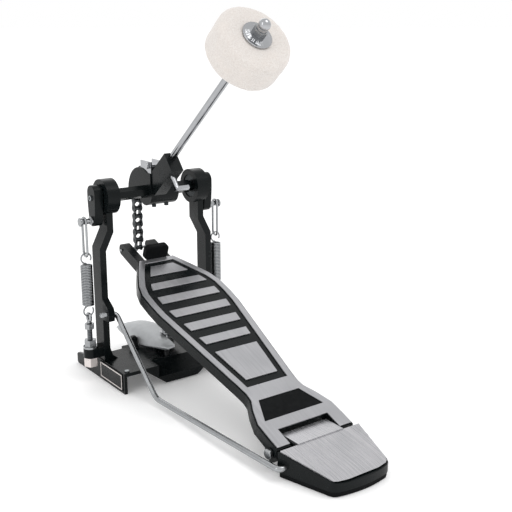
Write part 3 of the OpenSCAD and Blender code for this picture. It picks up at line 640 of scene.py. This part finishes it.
def hoop_jaw():
    crest = [(-48, 40), (-42, 41.8), (-30, 43.5), (-10, 45.5), (7, 45.5), (20, 44.8), (30, 43.5), (46, 40.5), (56, 37.6),
             (62, 36), (70, 33), (76, 30.5), (81, 27.4), (84, 25)]
    wide = [14, 19, 20, 20, 20, 20, 20, 20, 20, 19, 16.5, 13, 8, 4]
    skirt = [3.2, 4.5, 9, 15.5, 18.5, 18.5, 17.5, 13, 8.5, 5.5, 4.4, 3.8, 3.4, 3.2]
    bm = bmesh.new()
    rings = []
    for (y, z), w, s in zip(crest, wide, skirt):
        upper, lower = [], []
        for k in range(-8, 9):
            u = k / 8
            # crown, then a rounded shoulder down to the skirt's edge
            x = w * math.sin(u * math.pi / 2) ** 1 if abs(u) < 1 else w * u
            drop = (1 - math.cos(u * math.pi / 2)) ** 1.6 * (s - 3.0) + 2.2 * u * u
            upper.append((x, z - min(drop, s)))
            lower.append((x * (w - 2.6) / w, z - 3.0 - min(drop, s) * (0.92 if s > 4 else 0.5)))
        ring = upper + lower[::-1]
        rings.append([bm.verts.new(Vector((x, y, z)) * MM) for x, z in ring])
    n = len(rings[0])
    for a, b in zip(rings, rings[1:]):
        for k in range(n):
            bm.faces.new((a[k], a[(k + 1) % n], b[(k + 1) % n], b[k]))
    bm.faces.new(rings[0])
    bm.faces.new(rings[-1])
    obj = from_bm("hoop_jaw_shell", bm, [JAW], 50)
    cut = bmesh.new()
    outline = [(3.6, -60), (3.6, -22)] + [(3.6 * math.cos(math.radians(20 * k)), -22 + 3.6 * math.sin(math.radians(20 * k)))
                                          for k in range(1, 9)] + [(-3.6, -22), (-3.6, -60)]
    floor_ring, roof_ring = ([cut.verts.new(Vector((x, y, z)) * MM) for x, y in outline] for z in (20, 60))
    for k in range(len(outline)):
        j = (k + 1) % len(outline)
        cut.faces.new((floor_ring[k], floor_ring[j], roof_ring[j], roof_ring[k]))
    cut.faces.new(floor_ring)
    cut.faces.new(roof_ring)
    cutter = from_bm("slot_cutter", cut, [JAW], 50)
    slot = obj.modifiers.new("slot", "BOOLEAN")
    slot.operation, slot.object, slot.solver = "DIFFERENCE", cutter, "EXACT"
    baked(obj)
    bpy.data.objects.remove(cutter)
    crease(obj.data, 50)
    place(obj, "jaw_group", "jaw_metal", "hoop_jaw")


badge()
hoop_jaw()

# ---------------------------------------------------------------- studio
floor_mat, tree, shader, where = finish_of("studio_floor", Roughness=0.9, Specular_IOR_Level=0.1)
shader.inputs["Base Color"].default_value = tone("#fbfbfb")
shader.inputs["Emission Color"].default_value = (1, 1, 1, 1)
shader.inputs["Emission Strength"].default_value = 0.12
mesh = bpy.data.meshes.new("studio_floor")
mesh.from_pydata([(-60, -60, -0.0004), (60, -60, -0.0004), (60, 60, -0.0004), (-60, 60, -0.0004)], [], [(0, 1, 2, 3)])
floor = thing("studio_floor", mesh, [floor_mat])

world = bpy.data.worlds.new("studio")
world.use_nodes = True
world.node_tree.nodes["Background"].inputs[0].default_value = (1, 1, 1, 1)
world.node_tree.nodes["Background"].inputs[1].default_value = 1.0
bpy.context.scene.world = world
bpy.context.scene.view_settings.view_transform = "Standard"


def soft_light(name, at, size, power, aim=(0, -0.12, 0.15)):
    data = bpy.data.lights.new(name, "AREA")
    data.shape = "RECTANGLE"
    data.size, data.size_y = size
    data.energy = power
    lamp = bpy.data.objects.new(name, data)
    lamp.location = at
    lamp.rotation_euler = (Vector(aim) - Vector(at)).to_track_quat("-Z", "Y").to_euler()
    bpy.context.scene.collection.objects.link(lamp)


soft_light("key", (0.5, -1.0, 1.9), (1.0, 1.0), 7)
soft_light("fill", (-1.8, -0.5, 1.0), (0.6, 1.4), 4)
soft_light("back", (0.6, 1.6, 1.4), (1.6, 1.0), 4)

YAW, PITCH_DOWN = math.radians(36.30), math.radians(15.03)
view = Vector((math.sin(YAW) * math.cos(PITCH_DOWN), math.cos(YAW) * math.cos(PITCH_DOWN), -math.sin(PITCH_DOWN)))
lens = bpy.data.cameras.new("camera")
lens.lens, lens.sensor_width = 61.96, 36.0
lens.clip_start, lens.clip_end = 0.02, 40.0
camera = bpy.data.objects.new("camera", lens)
camera.location = (-0.4862, -0.8608, 0.3968)
camera.rotation_euler = view.to_track_quat("-Z", "Y").to_euler()
bpy.context.scene.collection.objects.link(camera)
bpy.context.scene.camera = camera
